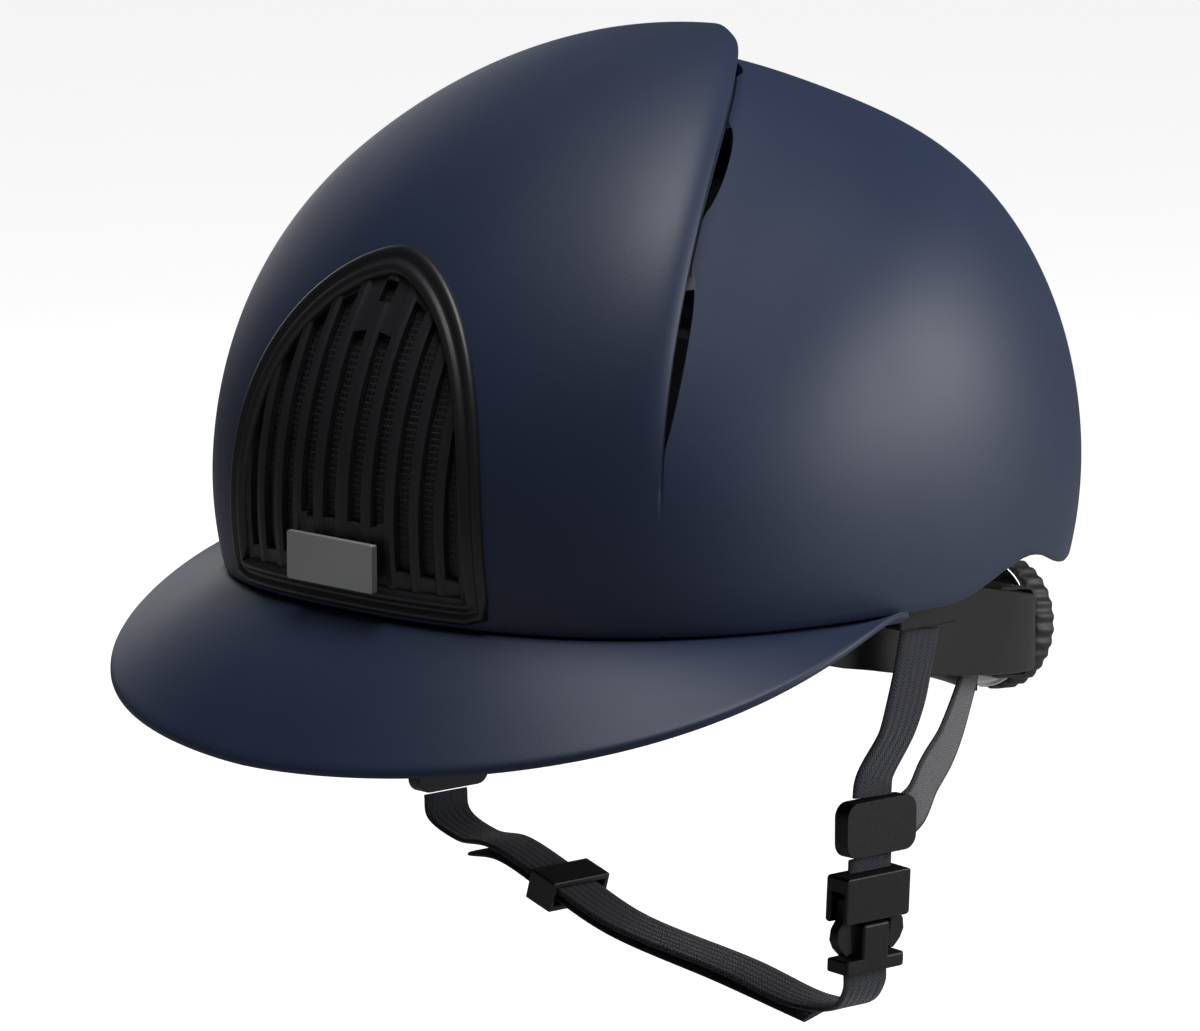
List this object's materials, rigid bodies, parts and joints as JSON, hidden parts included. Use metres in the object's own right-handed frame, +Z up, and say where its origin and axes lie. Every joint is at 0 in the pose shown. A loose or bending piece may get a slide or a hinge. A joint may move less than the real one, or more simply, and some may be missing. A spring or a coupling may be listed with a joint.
{
  "type": "equestrian riding helmet",
  "caption": "Riding helmet with a peak, a vented front grille, a foam liner, a dial-adjusted nape cradle and a webbing chin harness with a side-release buckle.",
  "frame": {"origin": "middle of the rim plane, where the shell's lower edge would cross the head's centre line", "axes": "+Z up to the crown, -Y to the front (the peak), +X to the wearer's left (the buckle side)"},
  "size_m": [0.2438, 0.2886, 0.2645],
  "materials": {
    "shell_paint": "matte navy lacquer",
    "dark_plastic": "fine moulded grain",
    "badge_metal": "dark satin plate",
    "foam": "expanded foam",
    "lining": "brushed knit over soft foam",
    "grip": "soft matte",
    "bright_trim": "polished",
    "webbing": "woven webbing"
  },
  "bodies": {
    "helmet": {"outer_shell": "shell_paint", "visor": "shell_paint", "front_grille": "dark_plastic", "front_mesh": "dark_plastic", "badge_plate": "badge_metal", "eps_liner": "foam", "headband_pad": "lining", "side_pad_left": "lining", "side_pad_right": "lining", "rear_pad": "lining", "crown_pad": "lining", "cradle_pin_left": "dark_plastic", "cradle_pin_right": "dark_plastic", "front_strap_left": "webbing", "front_strap_right": "webbing", "rear_strap_left": "webbing", "rear_strap_right": "webbing", "divider_left": "dark_plastic", "divider_right": "dark_plastic", "strap_anchor_left": "dark_plastic", "strap_anchor_right": "dark_plastic", "rear_anchor_left": "dark_plastic", "rear_anchor_right": "dark_plastic", "buckle_socket": "dark_plastic", "buckle_strap": "webbing"},
    "cradle": {"cradle_arm_left": "dark_plastic", "cradle_arm_right": "dark_plastic", "dial_housing": "dark_plastic", "nape_plate": "dark_plastic", "nape_pad": "lining"},
    "dial": {"dial_pinion": "dark_plastic", "dial_knob": "grip", "dial_trim_ring": "bright_trim"},
    "left_rack": {"rack_left": "dark_plastic"},
    "right_rack": {"rack_right": "dark_plastic"},
    "chin": {"chin_strap": "webbing", "strap_tail": "webbing", "buckle_plug": "dark_plastic"},
    "front_prong": {"release_prong_front": "dark_plastic"},
    "rear_prong": {"release_prong_rear": "dark_plastic"},
    "keeper": {"strap_keeper": "grip"}
  },
  "joints": [
    {"name": "dial_turn", "type": "hinge", "parent": "cradle", "child": "dial", "pos_m": [0, 0.116, -0.031], "axis": [0, -0.9945, 0.1045], "range_deg": [-45, 135]},
    {"name": "cradle_slide", "type": "slide", "parent": "helmet", "child": "cradle", "axis": [0, -1, 0], "range_m": [-0.0032, 0.0095]},
    {"name": "rack_left_slide", "type": "slide", "parent": "cradle", "child": "left_rack", "axis": [-1, 0, 0], "range_m": [-0.0032, 0.0095]},
    {"name": "rack_right_slide", "type": "slide", "parent": "cradle", "child": "right_rack", "axis": [1, 0, 0], "range_m": [-0.0032, 0.0095]},
    {"name": "chin_strap_swing", "type": "hinge", "parent": "helmet", "child": "chin", "pos_m": [-0.076, -0.004, -0.08], "axis": [0, 1, 0], "range_deg": [0, 60]},
    {"name": "release_front", "type": "slide", "parent": "chin", "child": "front_prong", "axis": [0, 1, 0], "range_m": [0, 0.0012], "stiffness_N_per_m": 800},
    {"name": "release_rear", "type": "slide", "parent": "chin", "child": "rear_prong", "axis": [0, -1, 0], "range_m": [0, 0.0012], "stiffness_N_per_m": 800},
    {"name": "keeper_slide", "type": "slide", "parent": "chin", "child": "keeper", "axis": [0.9578, 0, -0.2873], "range_m": [-0.012, 0.012]}
  ],
  "couplings": [
    {"joint": "cradle_slide", "follows": "dial_turn", "m_per_rad": 0.004},
    {"joint": "rack_left_slide", "follows": "dial_turn", "m_per_rad": 0.004},
    {"joint": "rack_right_slide", "follows": "dial_turn", "m_per_rad": 0.004}
  ]
}
